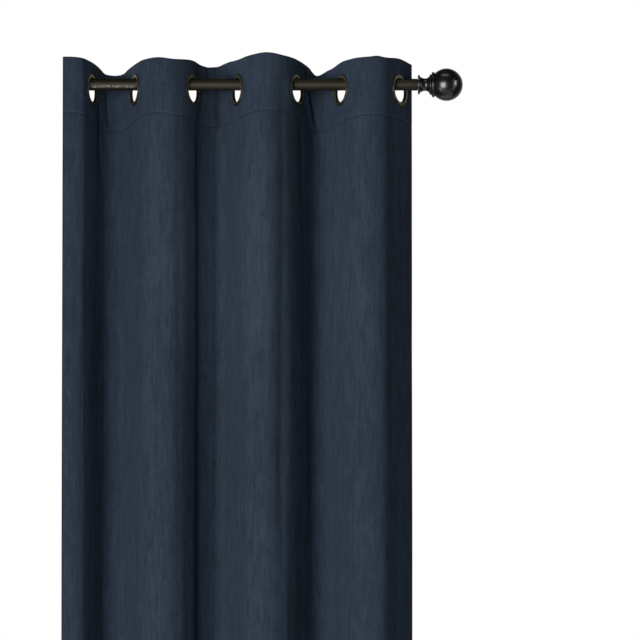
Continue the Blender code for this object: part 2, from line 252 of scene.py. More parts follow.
class ClothSettings(PropertyGroup):
    """Sizes and colours of the suede cloth."""

    thickness: length("Thickness", "Thickness of the single cloth with its pile", 0.0014)
    heading_thickness: length("Heading thickness", "Thickness of the doubled heading band", 0.0018)
    hem_extra: length("Hem step", "How much thicker the hems are, on the back face", 0.0008)
    top_height: length("Top height", "Height of the top edge above the rod's axis", 0.0312)
    heading_height: length("Heading height", "From the top edge to the heading's stitch line", 0.0920)
    drop: length("Drop", "From the top edge to the bottom hem", 2.134)
    side_hem: length("Side hem", "Width of each side hem", 0.038)
    bottom_hem: length("Bottom hem", "Height of the bottom hem", 0.100)
    eyelet_spacing: length("Eyelet spacing", "Cloth between two eyelets", 0.153)
    left_edge: length("Left edge", "Cloth left of the first eyelet", 0.0768)
    right_edge: length("Right edge", "Cloth right of the last eyelet", 0.0425)
    left_round: length("Left round", "Radius of the fold at the left edge", 0.0389)
    left_round_low: length("Left round at the hem", "The same radius at the bottom hem", 0.0340)
    relax_from: length("Folds relax from", "How far down the folds keep their shape", 0.55)
    relax_share: share("Folds relax by", "Share of the way to the hem's own folds", 0.8)
    rise_fades_at: length("Uneven edge fades at", "How far down the top edge's unevenness reaches", 0.22)
    sag_from: length("Sag starts", "How far above its seam the heading starts to sag", 0.022)
    # Width of the painted shadow on the panel below the heading's lower edge
    seam_shadow: length("Pressed strip", "Width of the strip below the seam where the pile is pressed", 0.006)
    column_step: length("Column step", "Mesh step along the cloth", 0.0036)
    row_step: length("Row step", "Mesh step down the panel", 0.0168)
    heading_row_step: length("Heading row step", "Mesh step down the heading", 0.0030)
    ripple: length("Ripple", "Height of the faint upright ripples", 0.0011)
    ripple_width: length("Ripple width", "Size of a ripple along the cloth", 0.030)
    ripple_length: length("Ripple length", "Size of a ripple down the cloth", 0.45)
    pile_dark: colour("Pile against the nap", "Suede where the pile leans away", "#222b38")
    pile_light: colour("Pile with the nap", "Suede where the pile leans over", "#364253")
    fleck: colour("Pale fibre tips", "Tips of the fibres that catch the light", "#4a5a6b")
    # Painted shade along the turned edges, and painted shadow below the heading's lower edge
    edge_shade_colour: colour("Turned edge", "Suede at its turned edges, where the pile is pressed flat", "#18202b")


class StitchSettings(PropertyGroup):
    """Sizes and colour of the sewing thread."""

    stitch: length("Stitch", "Length of one stitch", 0.0036)
    pitch: length("Pitch", "From the start of one stitch to the next", 0.0046)
    thread: length("Thread", "Radius of the thread", 0.00026)
    inset: length("Inset", "From a hem's edge to its stitch line", 0.0025)
    groove: share("Groove", "Share of the cloth's thickness that the stitches pull in", 0.38)
    groove_width: length("Groove width", "Half width of the groove that the stitches lie in", 0.0013)
    sides: IntProperty(name="Thread sides", description="Sides of a stitch's tube", default=5)
    colour: colour("Thread colour", "Polyester thread, a little paler than the cloth", "#4c5b6c")


class EyeletSettings(PropertyGroup):
    """Sizes and colours of the pressed metal eyelets."""

    hole_radius: length("Hole radius", "Inner radius of the barrel", 0.0192)
    ring_radius: length("Ring radius", "Outer radius of both washers", 0.0258)
    barrel_wall: length("Barrel wall", "Wall of the barrel", 0.0012)
    crown: length("Crown", "Height of the front washer over the cloth", 0.0011)
    washer: length("Washer", "Thickness of the back washer", 0.0007)
    gap: length("Gap", "Clearance between cloth and washer", 0.0003)
    sides: IntProperty(name="Sides", description="Steps round an eyelet", default=96)
    plating: colour("Plating", "Antique bronze plating, olive where it is rubbed", "#a9a580")
    patina: colour("Patina", "Dark finish left in the hollows", "#1d1912")
    copper: colour("Undercoat", "Reddish copper that shows where the plating is thin", "#4c2419")


class RodSettings(PropertyGroup):
    """Sizes and colours of the rod."""

    bore_radius: length("Bore radius", "Radius of the tube's inside at the finial", 0.0078)
    bore_depth: length("Bore depth", "Depth of the tube's open end", 0.025)
    end_round: length("End round", "Rounding of the cut edges", 0.0004)
    sides: IntProperty(name="Sides", description="Steps round the rod", default=96)
    lacquer: colour("Lacquer", "Dark bronze lacquer", "#36342a")
    lacquer_dark: colour("Lacquer shade", "The lacquer's darker drawn lines", "#1e1c16")
    # A painted highlight: a paler speckled band below the rod's axis between the first two eyelets, in this
    # colour and within the bounds below
    rubbed: colour("Rubbed metal", "Paler metal where the eyelets have rubbed the lacquer", "#96948c")
    highlight_left: length("Rubbed from", "Left end of the rubbed stretch", -0.240)
    highlight_right: length("Rubbed to", "Right end of the rubbed stretch", -0.160)
    highlight_low: length("Rubbed band's foot", "Lower side of the rubbed band, from the rod's axis", -0.0074)
    highlight_high: length("Rubbed band's head", "Upper side of the rubbed band, from the axis", -0.0036)


class FinialSettings(PropertyGroup):
    """Sizes and colour of the turned finial, measured from the face that meets the rod."""

    spigot_length: length("Spigot length", "Length of the spigot inside the rod", 0.024)
    collar_radius: length("Collar radius", "Radius of the collar's thin rim", 0.0155)
    collar_width: length("Collar width", "Width of the collar", 0.0032)
    throat_radius: length("Throat radius", "Radius where the neck leaves the collar", 0.0123)
    neck_radius: length("Neck radius", "Least radius of the neck", 0.0100)
    neck_place: length("Neck place", "Where the neck is thinnest", 0.0120)
    small_radius: length("Small bead radius", "Radius of the small bead", 0.0168)
    small_start: length("Small bead start", "Where the small bead starts", 0.0189)
    large_radius: length("Large bead radius", "Radius of the large bead", 0.0204)
    large_start: length("Large bead start", "Where the large bead starts", 0.0218)
    large_end: length("Large bead end", "Where the large bead ends", 0.0274)
    ball_radius: length("Ball radius", "Radius of the ball", 0.0260)
    ball_place: length("Ball place", "Where the ball's middle is", 0.0458)
    sides: IntProperty(name="Sides", description="Steps round the finial", default=128)
    enamel: colour("Enamel", "Gloss black stoving enamel", "#0b0b0c")


class StageSettings(PropertyGroup):
    """The camera, the lights and the floor."""

    elevation: FloatProperty(
        name="Camera tilt", description="How far the camera looks up", default=math.radians(15.25),
        subtype="ANGLE",
    )
    distance: length("Camera distance", "From the camera to the curtain", 40.0)
    field: length("Field", "Width of the picture at the rod", 1.024)
    target_x: length("Target X", "Middle of the picture, along the rod", 0.1323)
    target_y: length("Target Y", "Middle of the picture, from the rod towards the wall", 0.099)
    target_z: length("Target Z", "Middle of the picture, above the rod", -0.3633)
    floor_gap: length("Floor gap", "From the bottom hem to the floor", 0.009)
    floor_size: length("Floor size", "Half the floor's width", 1.7)
    floor: colour("Floor", "Pale matt floor", "#e4e3e0")
    ambient: share("Ambient", "Strength of the even light from all round", 0.010)


def add_node(tree, kind, inputs=None, **settings):
    """Adds a shader node. An input is a value, or (node, output) for a link; sockets go by identifier."""
    made = tree.nodes.new("ShaderNode" + kind)
    for name, value in settings.items():
        setattr(made, name, value)
    sockets = {socket.identifier: socket for socket in made.inputs}
    for name, value in (inputs or {}).items():
        if isinstance(value, tuple) and isinstance(value[0], bpy.types.Node):
            outputs = {socket.identifier: socket for socket in value[0].outputs}
            tree.links.new(outputs[value[1]], sockets[name])
        else:
            sockets[name].default_value = value
    return made


def new_material(name):
    """A node material, its tree, and the node that gives the object's own coordinates."""
    material = bpy.data.materials.new(name)
    material.use_nodes = True
    tree = material.node_tree
    tree.nodes.clear()
    places = add_node(tree, "TexCoord")
    return material, tree, places


def rgba(values):
    return (values[0], values[1], values[2], 1.0)


def faux_suede(cloth):
    """Knitted polyester microfibre, brushed and sanded to a short suede nap: no gloss, a pale bloom at
    grazing angles, and soft upright strokes where the pile leans one way or the other."""
    material, tree, places = new_material("brushed_polyester_faux_suede")
    nap = NAP_BASE
    patterns = {}
    for row in NAP_PATTERNS:
        across, down = 1.0 / (row.width * MM), 1.0 / (row.height * MM)
        place = add_node(tree, "Mapping", {"Vector": (places, "Object"), "Scale": (across, across, down)})
        pattern = add_node(tree, "TexNoise", {
            "Vector": (place, "Vector"), "Scale": 1.0, "Detail": row.detail, "Roughness": row.roughness,
            "Distortion": row.distortion,
        })
        added = add_node(tree, "Math", {
            "Value": (pattern, "Fac"), "Value_001": row.weight, "Value_002": nap,
        }, operation="MULTIPLY_ADD")
        nap = (added, "Value")
        patterns[row.name] = pattern
    # The pile's own grain is 0.3 mm, drawn at 1.1 mm because nothing finer shows in the picture
    grain = add_node(tree, "TexNoise", {
        "Vector": (places, "Object"), "Scale": 1.0 / (1.1 * MM), "Detail": 2.0, "Roughness": 0.7,
    })

    nap_spread = add_node(tree, "MapRange", {
        "Value": nap, "From Min": 0.24, "From Max": 0.76,
    }, interpolation_type="SMOOTHSTEP")
    pile = add_node(tree, "Mix", {
        "Factor_Float": (nap_spread, "Result"), "A_Color": rgba(cloth.pile_dark),
        "B_Color": rgba(cloth.pile_light),
    }, data_type="RGBA")
    fleck_share = add_node(tree, "MapRange", {
        "Value": (grain, "Fac"), "From Min": 0.52, "From Max": 0.80, "To Max": 0.45,
    }, interpolation_type="SMOOTHSTEP")
    flecked = add_node(tree, "Mix", {
        "Factor_Float": (fleck_share, "Result"), "A_Color": (pile, "Result_Color"),
        "B_Color": rgba(cloth.fleck),
    }, data_type="RGBA")
    # Painted shade along the turned edges and painted shadow below the heading's lower edge darken the pile
    edge = add_node(tree, "Attribute", attribute_name="turned_edge")
    edge_shade_share = add_node(tree, "Math", {
        "Value": (edge, "Fac"), "Value_001": 0.75,
    }, operation="MULTIPLY", use_clamp=True)
    edge_shaded = add_node(tree, "Mix", {
        "Factor_Float": (edge_shade_share, "Value"), "A_Color": (flecked, "Result_Color"),
        "B_Color": rgba(cloth.edge_shade_colour),
    }, data_type="RGBA")

    height = add_node(tree, "Math", {
        "Value": (patterns["fine brush marks"], "Fac"), "Value_001": 0.8, "Value_002": (grain, "Fac"),
    }, operation="MULTIPLY_ADD")
    bump = add_node(tree, "Bump", {"Height": (height, "Value"), "Strength": 0.55, "Distance": 0.35 * MM})
    shader = add_node(tree, "BsdfPrincipled", {
        "Base Color": (edge_shaded, "Result_Color"), "Normal": (bump, "Normal"), "Diffuse Roughness": 0.3,
        "Roughness": 0.93, "Specular IOR Level": 0.06, "IOR": 1.5, "Sheen Weight": 0.03,
        "Sheen Roughness": 0.35, "Sheen Tint": (0.50, 0.62, 0.80, 1.0),
    })
    add_node(tree, "OutputMaterial", {"Surface": (shader, "BSDF")})
    return material


def sewing_thread(stitching):
    """Spun polyester thread, two plies twisted: matt, with faint slanting ply lines."""
    material, tree, places = new_material("spun_polyester_thread")
    # The plies' own lines are 0.4 mm apart, drawn at 0.9 mm because nothing finer shows in the picture
    plies = add_node(tree, "TexWave", {
        "Vector": (places, "Object"), "Scale": 1.0 / (2.4 * MM), "Distortion": 1.5, "Detail": 1.0,
    }, bands_direction="DIAGONAL")
    dark = [value * 0.62 for value in stitching.colour]
    tone = add_node(tree, "Mix", {
        "Factor_Float": (plies, "Fac"), "A_Color": rgba(dark), "B_Color": rgba(stitching.colour),
    }, data_type="RGBA")
    bump = add_node(tree, "Bump", {"Height": (plies, "Fac"), "Strength": 0.4, "Distance": 0.08 * MM})
    shader = add_node(tree, "BsdfPrincipled", {
        "Base Color": (tone, "Result_Color"), "Normal": (bump, "Normal"), "Roughness": 0.7,
        "Sheen Weight": 0.05, "Sheen Roughness": 0.4,
    })
    add_node(tree, "OutputMaterial", {"Surface": (shader, "BSDF")})
    return material


def antique_bronze(eyelet):
    """Pressed brass with antique bronze plating, tumbled to a satin: olive on the rubbed crown, dark in
    the barrel, and coppery where the plating is thin."""
    material, tree, places = new_material("antique_bronze_plated_brass")
    # Tumbling marks, 3 mm across
    clouds = add_node(tree, "TexNoise", {
        "Vector": (places, "Object"), "Scale": 1.0 / (3.0 * MM), "Detail": 4.0, "Roughness": 0.62,
    })
    # Thin spots in the plating, 8 mm across
    spots = add_node(tree, "TexNoise", {
        "Vector": (places, "Object"), "Scale": 1.0 / (8.0 * MM), "Detail": 2.0, "Roughness": 0.5,
    })
    wear_and_shade = add_node(tree, "Attribute", attribute_name="rubbed")
    rubbed = add_node(tree, "Math", {
        "Value": (clouds, "Fac"), "Value_001": 0.7, "Value_002": (wear_and_shade, "Fac"),
    }, operation="MULTIPLY_ADD", use_clamp=True)
    rubbed_share = add_node(tree, "MapRange", {
        "Value": (rubbed, "Value"), "From Min": 0.35, "From Max": 0.95,
    })
    plated = add_node(tree, "Mix", {
        "Factor_Float": (rubbed_share, "Result"), "A_Color": rgba(eyelet.patina),
        "B_Color": rgba(eyelet.plating),
    }, data_type="RGBA")
    # The plating is thinnest on the lower rims, which the hands touch first
    place = add_node(tree, "SeparateXYZ", {"Vector": (places, "Object")})
    low_share = add_node(tree, "MapRange", {
        "Value": (place, "Z"), "From Min": -14.0 * MM, "From Max": -32.0 * MM, "To Max": 0.20,
    }, interpolation_type="SMOOTHSTEP")
    thinness = add_node(tree, "Math", {
        "Value": (spots, "Fac"), "Value_001": (low_share, "Result"),
    }, operation="ADD")
    thin_share = add_node(tree, "MapRange", {
        "Value": (thinness, "Value"), "From Min": 0.52, "From Max": 0.76, "To Max": 0.65,
    }, interpolation_type="SMOOTHSTEP")
    tinted = add_node(tree, "Mix", {
        "Factor_Float": (thin_share, "Result"), "A_Color": (plated, "Result_Color"),
        "B_Color": rgba(eyelet.copper),
    }, data_type="RGBA")
    roughness = add_node(tree, "MapRange", {
        "Value": (clouds, "Fac"), "From Min": 0.3, "From Max": 0.7, "To Min": 0.34, "To Max": 0.52,
    })
    bump = add_node(tree, "Bump", {"Height": (clouds, "Fac"), "Strength": 0.25, "Distance": 0.12 * MM})
    shader = add_node(tree, "BsdfPrincipled", {
        "Base Color": (tinted, "Result_Color"), "Roughness": (roughness, "Result"), "Metallic": 0.9,
        "Normal": (bump, "Normal"),
    })
    add_node(tree, "OutputMaterial", {"Surface": (shader, "BSDF")})
    return material


def bronze_lacquer(rod):
    """Drawn steel tube under dark bronze lacquer: satin, with faint lines from the drawing die, and a painted
    highlight: a paler speckled band below the axis between the first two eyelets."""
    material, tree, places = new_material("bronze_lacquered_drawn_steel")
    # Drawing lines, 1.5 mm apart and 120 mm long
    line_place = add_node(tree, "Mapping", {
        "Vector": (places, "Object"), "Scale": (1.0 / (120.0 * MM), 1.0 / (1.5 * MM), 1.0 / (1.5 * MM)),
    })
    lines = add_node(tree, "TexNoise", {
        "Vector": (line_place, "Vector"), "Scale": 1.0, "Detail": 3.0, "Roughness": 0.6,
    })
    # Speckle of the painted highlight band, 2.6 mm across
    highlight_speckle = add_node(tree, "TexNoise", {
        "Vector": (places, "Object"), "Scale": 1.0 / (2.6 * MM), "Detail": 3.0, "Roughness": 0.65,
    })
    base = add_node(tree, "Mix", {
        "Factor_Float": (lines, "Fac"), "A_Color": rgba(rod.lacquer_dark), "B_Color": rgba(rod.lacquer),
    }, data_type="RGBA")
    place = add_node(tree, "SeparateXYZ", {"Vector": (places, "Object")})
    highlight_speckle_share = add_node(tree, "MapRange", {
        "Value": (highlight_speckle, "Fac"), "From Min": 0.42, "From Max": 0.62,
    }, interpolation_type="SMOOTHSTEP")
    # The painted highlight band fades out over 12 mm along the rod and 1.2 mm round it
    rubbed = (highlight_speckle_share, "Result")
    along, round_it = 12.0 * MM, 1.2 * MM
    ends = (
        ("X", rod.highlight_left, along), ("X", rod.highlight_right, -along),
        ("Z", rod.highlight_low, round_it), ("Z", rod.highlight_high, -round_it),
    )
    for axis, start, fade in ends:
        inside = add_node(tree, "MapRange", {
            "Value": (place, axis), "From Min": start, "From Max": start + fade,
        }, interpolation_type="SMOOTHSTEP")
        kept = add_node(tree, "Math", {
            "Value": rubbed, "Value_001": (inside, "Result"),
        }, operation="MULTIPLY")
        rubbed = (kept, "Value")
    # Painted highlight laid over the lacquer
    tone = add_node(tree, "Mix", {
        "Factor_Float": rubbed, "A_Color": (base, "Result_Color"), "B_Color": rgba(rod.rubbed),
    }, data_type="RGBA")
    roughness = add_node(tree, "MapRange", {
        "Value": (lines, "Fac"), "From Min": 0.3, "From Max": 0.7, "To Min": 0.50, "To Max": 0.64,
    })
    relief = add_node(tree, "Math", {
        "Value": rubbed, "Value_001": 0.8, "Value_002": (lines, "Fac"),
    }, operation="MULTIPLY_ADD")
    bump = add_node(tree, "Bump", {"Height": (relief, "Value"), "Strength": 0.35, "Distance": 0.10 * MM})
    shader = add_node(tree, "BsdfPrincipled", {
        "Base Color": (tone, "Result_Color"), "Roughness": (roughness, "Result"), "Metallic": 0.7,
        "Normal": (bump, "Normal"), "Coat Weight": 0.12, "Coat Roughness": 0.35,
    })
    add_node(tree, "OutputMaterial", {"Surface": (shader, "BSDF")})
    return material


def black_enamel(finial):
    """Turned resin under gloss black enamel: deep black, a soft gloss and a faint orange peel."""
    material, tree, places = new_material("gloss_black_stoving_enamel")
    # Orange peel of the sprayed enamel, 4 mm across
    peel = add_node(tree, "TexNoise", {
        "Vector": (places, "Object"), "Scale": 1.0 / (4.0 * MM), "Detail": 2.0, "Roughness": 0.5,
    })
    # Handling haze, 15 mm across
    haze = add_node(tree, "TexNoise", {
        "Vector": (places, "Object"), "Scale": 1.0 / (15.0 * MM), "Detail": 3.0, "Roughness": 0.6,
    })
    lifted = [value * 1.9 for value in finial.enamel]
    tone = add_node(tree, "Mix", {
        "Factor_Float": (haze, "Fac"), "A_Color": rgba(finial.enamel), "B_Color": rgba(lifted),
    }, data_type="RGBA")
    roughness = add_node(tree, "MapRange", {
        "Value": (haze, "Fac"), "From Min": 0.3, "From Max": 0.7, "To Min": 0.27, "To Max": 0.33,
    })
    bump = add_node(tree, "Bump", {"Height": (peel, "Fac"), "Strength": 0.05, "Distance": 0.08 * MM})
    shader = add_node(tree, "BsdfPrincipled", {
        "Base Color": (tone, "Result_Color"), "Roughness": (roughness, "Result"),
        "Normal": (bump, "Normal"), "IOR": 1.52, "Coat Weight": 0.6, "Coat Roughness": 0.23,
        "Coat IOR": 1.5,
    })
    add_node(tree, "OutputMaterial", {"Surface": (shader, "BSDF")})
    return material


def matt_floor(stage):
    """Rolled matt emulsion on a studio floor: pale, with a faint stipple from the roller."""
    material, tree, places = new_material("matt_floor_paint")
    # Roller stipple, 6 mm across
    stipple = add_node(tree, "TexNoise", {
        "Vector": (places, "Object"), "Scale": 1.0 / (6.0 * MM), "Detail": 2.0,
    })
    bump = add_node(tree, "Bump", {"Height": (stipple, "Fac"), "Strength": 0.2, "Distance": 0.2 * MM})
    shader = add_node(tree, "BsdfPrincipled", {
        "Base Color": rgba(stage.floor), "Roughness": 0.85, "Normal": (bump, "Normal"),
    })
    add_node(tree, "OutputMaterial", {"Surface": (shader, "BSDF")})
    return material


def smooth_share(value):
    value = min(max(value, 0.0), 1.0)
    return value * value * (3.0 - 2.0 * value)


def fold_lengths(spacing, pitch, slant, next_slant):
    """The straight run after one eyelet, the fold's radius, and the straight run before the next one."""
    apex_depth = pitch / (1.0 / math.tan(slant) + 1.0 / math.tan(next_slant))
    before = apex_depth / math.sin(slant)
    after = apex_depth / math.sin(next_slant)
    turn = slant + next_slant
    tangent = 1.0 / math.tan((math.pi - turn) / 2.0)
    radius = (before + after - spacing) / (2.0 * tangent - turn)
    return before - radius * tangent, radius, after - radius * tangent


def along_run(start, direction, run, distance):
    """The point and direction at a distance along a run."""
    if run.turn == 0.0:
        step = Vector((math.cos(direction), math.sin(direction))) * distance
        return start + step, direction
    radius = run.length / run.turn
    after = direction + distance / radius
    step = Vector((math.sin(after) - math.sin(direction), math.cos(direction) - math.cos(after)))
    return start + step * radius, after


def plan_line(cloth, places, slants, left_round):
    """The runs of the cloth's plan line with their starts, from the left edge, which is the crest of a
    front fold. Straight flanks pass through the eyelets, and round folds join them."""
    runs = [Run(left_round * slants[0], slants[0])]
    straight = cloth.left_edge - left_round * slants[0]
    facing_back = True
    for index in range(len(places) - 1):
        pitch = places[index + 1] - places[index]
        slant, next_slant = slants[index], slants[index + 1]
        out, radius, back = fold_lengths(cloth.eyelet_spacing, pitch, slant, next_slant)
        turn = slant + next_slant
        runs.append(Run(straight + out, 0.0))
        runs.append(Run(radius * turn, -turn if facing_back else turn))
        straight = back
        facing_back = not facing_back
    runs.append(Run(straight + cloth.right_edge, 0.0))

    first = cloth.left_edge - left_round * slants[0]
    x = places[0] - first * math.cos(slants[0]) - left_round * math.sin(slants[0])
    y = -first * math.sin(slants[0]) - left_round * (1.0 - math.cos(slants[0]))
    along, point, direction = 0.0, Vector((x, y)), 0.0
    starts = []
    for run in runs:
        starts.append(Start(along, point, direction, run))
        point, direction = along_run(point, direction, run, run.length)
        along += run.length
    return starts


def eyelet_frame(index, drop):
    """A matrix whose X is the way the eyelet faces and whose Z is up, at the eyelet's middle."""
    row = EYELETS[index]
    slant = math.radians(row.slant)
    direction = slant if index % 2 == 0 else -slant
    facing = Vector((math.sin(direction), -math.cos(direction), 0.0))
    along = Vector((math.cos(direction), math.sin(direction), 0.0))
    matrix = Matrix((facing, along, Vector((0.0, 0.0, 1.0)))).transposed().to_4x4()
    matrix.translation = Vector((row.x, 0.0, -drop))
    return matrix


class HangingCloth:
    """The cloth in its folds: gives the place of any point by its distance along the cloth from the left
    edge, its distance below the top edge, and its offset from the cloth's middle towards the room."""

    def __init__(self, cloth, stitching, eyelet):
        self.cloth = cloth
        self.stitching = stitching
        slants = [math.radians(row.slant) for row in EYELETS]
        low_slants = [math.radians(row.low_slant) for row in EYELETS]
        self.top_line = plan_line(cloth, [row.x for row in EYELETS], slants, cloth.left_round)
        self.low_line = plan_line(cloth, [row.low_x for row in EYELETS], low_slants, cloth.left_round_low)
        self.starts = [start.along for start in self.top_line]
        self.width = self.starts[-1] + self.top_line[-1].run.length
        low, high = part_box("rod")
        self.eyelet_drop = eyelet.hole_radius - (high.z - low.z) / 2.0 - eyelet.gap
        self.eyelet_alongs = [cloth.left_edge + i * cloth.eyelet_spacing for i in range(len(EYELETS))]
        self.eyelet_belows = [
            cloth.top_height + self.eyelet_drop + self.top_rise(along) for along in self.eyelet_alongs
        ]
        self.press_from = eyelet.ring_radius + 1.0 * MM
        self.press_to = eyelet.ring_radius + 14.0 * MM

    def column(self, along):
        """The cloth's column at a distance along it. The hem's plan line is paired with the heading's run
        by run, because their folds have other lengths."""
        index = max(0, min(bisect_right(self.starts, along) - 1, len(self.starts) - 1))
        top, low = self.top_line[index], self.low_line[index]
        done = along - top.along
        low_done = done / top.run.length * low.run.length
        top_place, top_direction = along_run(top.point, top.direction, top.run, done)
        low_place, low_direction = along_run(low.point, low.direction, low.run, low_done)
        return Column(along, top_place, top_direction, low_place, low_direction)

    def top_rise(self, along):
        """How far the top edge stands above its usual height: a smooth line through STATIONS."""
        places = [self.cloth.left_edge + row.spaces * self.cloth.eyelet_spacing for row in STATIONS]
        rises = [row.rise for row in STATIONS]
        last = len(places) - 1
        index = max(0, min(bisect_right(places, along) - 1, last - 1))
        slopes = []
        for place in (index, index + 1):
            before, after = max(place - 1, 0), min(place + 1, last)
            slopes.append((rises[after] - rises[before]) / (places[after] - places[before]))
        span = places[index + 1] - places[index]
        t = min(max((along - places[index]) / span, 0.0), 1.0)
        start = (1.0 + 2.0 * t) * (1.0 - t) ** 2 * rises[index] + t * (1.0 - t) ** 2 * span * slopes[0]
        end = t * t * (3.0 - 2.0 * t) * rises[index + 1] + t * t * (t - 1.0) * span * slopes[1]
        return start + end

    def seam_sag(self, along, below_top):
        """How far a point sags with the heading's seam: nothing at the eyelets, all of it at the seam."""
        cloth = self.cloth
        places = [cloth.left_edge + row.spaces * cloth.eyelet_spacing for row in SEAM_SAGS]
        index = max(0, min(bisect_right(places, along) - 1, len(places) - 2))
        way = smooth_share((along - places[index]) / (places[index + 1] - places[index]))
        sag = SEAM_SAGS[index].drop * (1.0 - way) + SEAM_SAGS[index + 1].drop * way
        if below_top > cloth.heading_height:
            return sag * (1.0 - smooth_share((below_top - cloth.heading_height) / cloth.rise_fades_at))
        eyelet_foot = cloth.heading_height - cloth.sag_from
        return sag * smooth_share((below_top - eyelet_foot) / cloth.sag_from)

    def pressed_flat(self, along, below_top):
        """From 0 beside an eyelet, where its washers press the cloth flat, to 1 away from them all."""
        nearest = min(
            math.hypot(along - place, below_top - below)
            for place, below in zip(self.eyelet_alongs, self.eyelet_belows)
        )
        return smooth_share((nearest - self.press_from) / (self.press_to - self.press_from))

    def relief(self, along, below_top):
        """How far the cloth stands out of its plain folds: creases, upright ripples and seam puckers."""
        cloth = self.cloth
        height = 0.0
        for crease in CREASES:
            done = (below_top - crease.top) / (crease.bottom - crease.top)
            if not -CREASE_END < done < 1.0 + CREASE_END:
                continue
            middle = cloth.left_edge + crease.spaces * cloth.eyelet_spacing + crease.wander * done
            across = (along - middle) / crease.width
            if abs(across) < 3.0:
                fade = smooth_share((done + CREASE_END) / CREASE_RISE)
                fade *= smooth_share((1.0 + CREASE_END - done) / CREASE_FALL)
                height += crease.height * fade * math.exp(-across * across)
        ripple = noise.noise(Vector((along / cloth.ripple_width, below_top / cloth.ripple_length, 4.0)))
        small_width = SMALL_WIDTH * cloth.ripple_width
        small = noise.noise(Vector((along / small_width, below_top / SMALL_LENGTH, 9.0)))
        height += cloth.ripple * (ripple + SMALL_HEIGHT * small) * smooth_share((below_top - 0.02) / 0.2)
        from_seam = abs(below_top - cloth.heading_height)
        if from_seam < PUCKER_REACH:
            pucker = noise.noise(Vector((along / PUCKER_WIDTH, below_top / PUCKER_LENGTH, 2.0)))
            height += PUCKER_HEIGHT * pucker * (1.0 - smooth_share(from_seam / PUCKER_REACH))
        return height * self.pressed_flat(along, below_top)

    def point(self, column, below_top, offset):
        cloth = self.cloth
        down = smooth_share((below_top - cloth.relax_from) / (cloth.drop - cloth.relax_from))
        relax = cloth.relax_share * down
        place = column.top.lerp(column.low, relax)
        direction = column.top_direction + (column.low_direction - column.top_direction) * relax
        x = place.x + math.sin(direction) * offset
        y = place.y - math.cos(direction) * offset
        rise = self.top_rise(column.along) * max(0.0, 1.0 - below_top / cloth.rise_fades_at)
        sag = self.seam_sag(column.along, below_top)
        return Vector((x, y, cloth.top_height + rise - sag - below_top))

    def groove(self, distance):
        """Share of the thickness left beside a stitch line, at a distance from it."""
        across = distance / self.stitching.groove_width
        return 1.0 - self.stitching.groove * math.exp(-across * across)


def rounded(half, distance):
    """Half the thickness of a turned edge, at a distance from that edge."""
    inside = 1.0 - min(distance / half, 1.0)
    return half * max(math.sqrt(1.0 - inside * inside), 0.15)


def graded(start, end, step, close_to):
    """Places from start to end a step apart, with closer ones round each place in close_to."""
    count = max(1, math.ceil((end - start) / step))
    places = [start + (end - start) * index / count for index in range(count + 1)]
    kept = [place for place in places[1:-1] if all(abs(place - other) > 2.2 * MM for other in close_to)]
    near = []
    for other in close_to:
        near += [other + shift * MM for shift in (-2.0, -1.1, -0.5, 0.0, 0.5, 1.1, 2.0)]
    near = [place for place in near if start < place < end]
    result = [start]
    for place in sorted(kept + near + [end]):
        if place - result[-1] >= CLOSEST:
            result.append(place)
    result[-1] = end
    return result


def cloth_piece(name, hanging, alongs, belows, half_front, half_back, edge, material):
    """A closed sheet on the folds. The half thicknesses and the painted edge shade are functions of a point's
    distance along the cloth and below the top edge."""
    columns = [hanging.column(along) for along in alongs]
    front, back, wear_and_shade = [], [], []
    for below_top in belows:
        for column in columns:
            relief = hanging.relief(column.along, below_top)
            front.append(hanging.point(column, below_top, relief + half_front(column.along, below_top)))
            back.append(hanging.point(column, below_top, relief - half_back(column.along, below_top)))
            wear_and_shade.append(edge(column.along, below_top))
    across, down, count = len(columns), len(belows), len(front)
    faces = []
    for row in range(down - 1):
        for index in range(across - 1):
            corner = row * across + index
            below = corner + across
            faces.append((corner, below, below + 1, corner + 1))
            faces.append((count + corner, count + corner + 1, count + below + 1, count + below))
    last_row = (down - 1) * across
    for index in range(across - 1):
        faces.append((index, index + 1, count + index + 1, count + index))
        low = last_row + index
        faces.append((low, count + low, count + low + 1, low + 1))
    for row in range(down - 1):
        left = row * across
        faces.append((left, count + left, count + left + across, left + across))
        right = left + across - 1
        faces.append((right, right + across, count + right + across, count + right))
    mesh = bpy.data.meshes.new(name)
    mesh.from_pydata(front + back, [], faces)
    # The painted edge shade, for the suede's material
    mesh.attributes.new("turned_edge", "FLOAT", "POINT").data.foreach_set("value", wear_and_shade + wear_and_shade)
    return finish_mesh(name, mesh, material)


def face_outwards(mesh):
    shape = bmesh.new()
    shape.from_mesh(mesh)
    bmesh.ops.recalc_face_normals(shape, faces=shape.faces)
    shape.to_mesh(mesh)
    shape.free()


def finish_mesh(name, mesh, material, sharp=CLOTH_SHARP):
    face_outwards(mesh)
    mesh.materials.append(material)
    mesh.update()
    mesh.shade_smooth()
    mesh.set_sharp_from_angle(angle=sharp)
    made = bpy.data.objects.new(name, mesh)
    bpy.context.scene.collection.objects.link(made)
    return made


